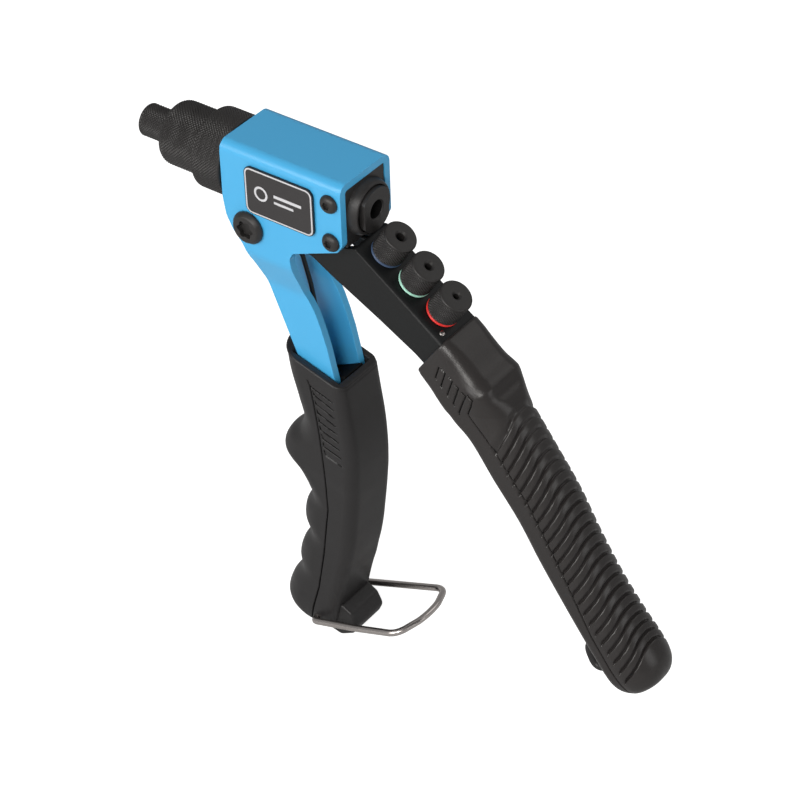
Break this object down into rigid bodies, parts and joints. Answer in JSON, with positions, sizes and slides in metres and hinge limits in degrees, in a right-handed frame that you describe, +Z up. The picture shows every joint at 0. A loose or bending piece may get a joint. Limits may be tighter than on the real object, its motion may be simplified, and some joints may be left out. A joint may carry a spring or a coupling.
{
  "type": "hand riveter",
  "caption": "Hand blind riveter: folded blue frame and fixed grip, pivoting lever that draws the jaws back, wire latch bail and nosepieces stored on the lever.",
  "frame": {"origin": "centre of the bounding box, at its lowest height: the tool stands with the handles down and its lowest point, the front handle's end, at Z = 0", "axes": "+X from the nose toward the rear handle, parallel to the barrel; +Y across the tool toward its far side; +Z up, square to the barrel"},
  "size_m": [0.226, 0.0359, 0.2184],
  "materials": {
    "painted_blue": "gloss powder coat",
    "black_oxide": "black oxide, satin",
    "black_lever": "satin black coat",
    "bright_steel": "bright",
    "wire_steel": "drawn wire, bright",
    "grip_black": "moulded grip, soft sheen",
    "badge": "printed plate",
    "seal_black": "matt",
    "seal_blue": "satin",
    "seal_green": "satin",
    "seal_red": "satin"
  },
  "bodies": {
    "frame": {"frame": "painted_blue", "barrel_tube": "black_oxide", "rear_guide_block": "black_oxide", "rear_plug": "black_oxide", "block_screw_near_top": "black_oxide", "block_screw_near_low": "black_oxide", "block_screw_far_top": "black_oxide", "block_screw_far_low": "black_oxide", "pivot_bolt": "black_oxide", "pivot_nut": "black_oxide", "pivot_washer_near": "bright_steel", "pivot_washer_far": "bright_steel", "pivot_bush": "bright_steel", "handle_spring": "bright_steel", "badge_plate": "badge", "front_grip_shell": "grip_black", "front_finger_pad": "grip_black"},
    "lever": {"lever_channel": "black_lever", "fork_pin_near": "bright_steel", "fork_pin_far": "bright_steel", "web_pin": "bright_steel", "rear_grip_shell": "grip_black", "rear_grip_pad": "grip_black", "latch_loop": "grip_black"},
    "draw_bar": {"jaw_case": "black_oxide", "draw_tube": "bright_steel", "fork_collar": "black_oxide", "jaw_spring": "bright_steel"},
    "jaw_1": {"jaw_1": "bright_steel"},
    "jaw_2": {"jaw_2": "bright_steel"},
    "jaw_3": {"jaw_3": "bright_steel"},
    "pusher": {"jaw_pusher": "bright_steel"},
    "sleeve": {"front_sleeve": "black_oxide"},
    "nosepiece": {"fitted_nosepiece": "black_oxide", "fitted_ring": "seal_black"},
    "locking_ring": {"locking_ring": "black_oxide"},
    "stored_1": {"stored_nosepiece_1": "black_oxide", "colour_ring_1": "seal_blue"},
    "stored_2": {"stored_nosepiece_2": "black_oxide", "colour_ring_2": "seal_green"},
    "stored_3": {"stored_nosepiece_3": "black_oxide", "colour_ring_3": "seal_red"},
    "bail": {"latch_bail": "wire_steel"}
  },
  "joints": [
    {"name": "lever_pivot", "type": "hinge", "parent": "frame", "child": "lever", "pos_m": [-0.0559, 0, 0.1858], "axis": [0, 1, 0], "range_deg": [0, 26], "deforming": ["handle_spring"]},
    {"name": "draw_slide", "type": "slide", "parent": "frame", "child": "draw_bar", "axis": [1, 0, 0], "range_m": [0, 0.008]},
    {"name": "jaw_1_grip", "type": "slide", "parent": "draw_bar", "child": "jaw_1", "axis": [-0.9863, 0, -0.165], "range_m": [0, 0.002]},
    {"name": "jaw_2_grip", "type": "slide", "parent": "draw_bar", "child": "jaw_2", "axis": [-0.9863, 0.1429, 0.0825], "range_m": [0, 0.002]},
    {"name": "jaw_3_grip", "type": "slide", "parent": "draw_bar", "child": "jaw_3", "axis": [-0.9863, -0.1429, 0.0825], "range_m": [0, 0.002]},
    {"name": "pusher_slide", "type": "slide", "parent": "draw_bar", "child": "pusher", "axis": [-1, 0, 0], "range_m": [0, 0.002], "deforming": ["jaw_spring"]},
    {"name": "sleeve_turn", "type": "hinge", "parent": "frame", "child": "sleeve", "pos_m": [-0.09, 0, 0.203], "axis": [1, 0, 0], "continuous": true},
    {"name": "nosepiece_turn", "type": "hinge", "parent": "sleeve", "child": "nosepiece", "pos_m": [-0.105, 0, 0.203], "axis": [1, 0, 0], "continuous": true},
    {"name": "locking_ring_turn", "type": "hinge", "parent": "frame", "child": "locking_ring", "pos_m": [-0.0741, 0, 0.203], "axis": [1, 0, 0], "continuous": true},
    {"name": "stored_1_lift", "type": "slide", "parent": "lever", "child": "stored_1", "axis": [0.5591, 0, 0.8291], "range_m": [0, 0.008]},
    {"name": "stored_2_lift", "type": "slide", "parent": "lever", "child": "stored_2", "axis": [0.5591, 0, 0.8291], "range_m": [0, 0.008]},
    {"name": "stored_3_lift", "type": "slide", "parent": "lever", "child": "stored_3", "axis": [0.5591, 0, 0.8291], "range_m": [0, 0.008]},
    {"name": "bail_pivot", "type": "hinge", "parent": "frame", "child": "bail", "pos_m": [-0.0376, 0, 0.0063], "axis": [0, 1, 0], "range_deg": [-38, 115]}
  ],
  "couplings": [
    {"joint": "draw_slide", "follows": "lever_pivot", "m_per_rad": 0.017486},
    {"joint": "jaw_1_grip", "follows": "lever_pivot", "m_per_rad": 0.002865},
    {"joint": "jaw_2_grip", "follows": "lever_pivot", "m_per_rad": 0.002865},
    {"joint": "jaw_3_grip", "follows": "lever_pivot", "m_per_rad": 0.002865},
    {"joint": "pusher_slide", "follows": "lever_pivot", "m_per_rad": 0.002826}
  ]
}
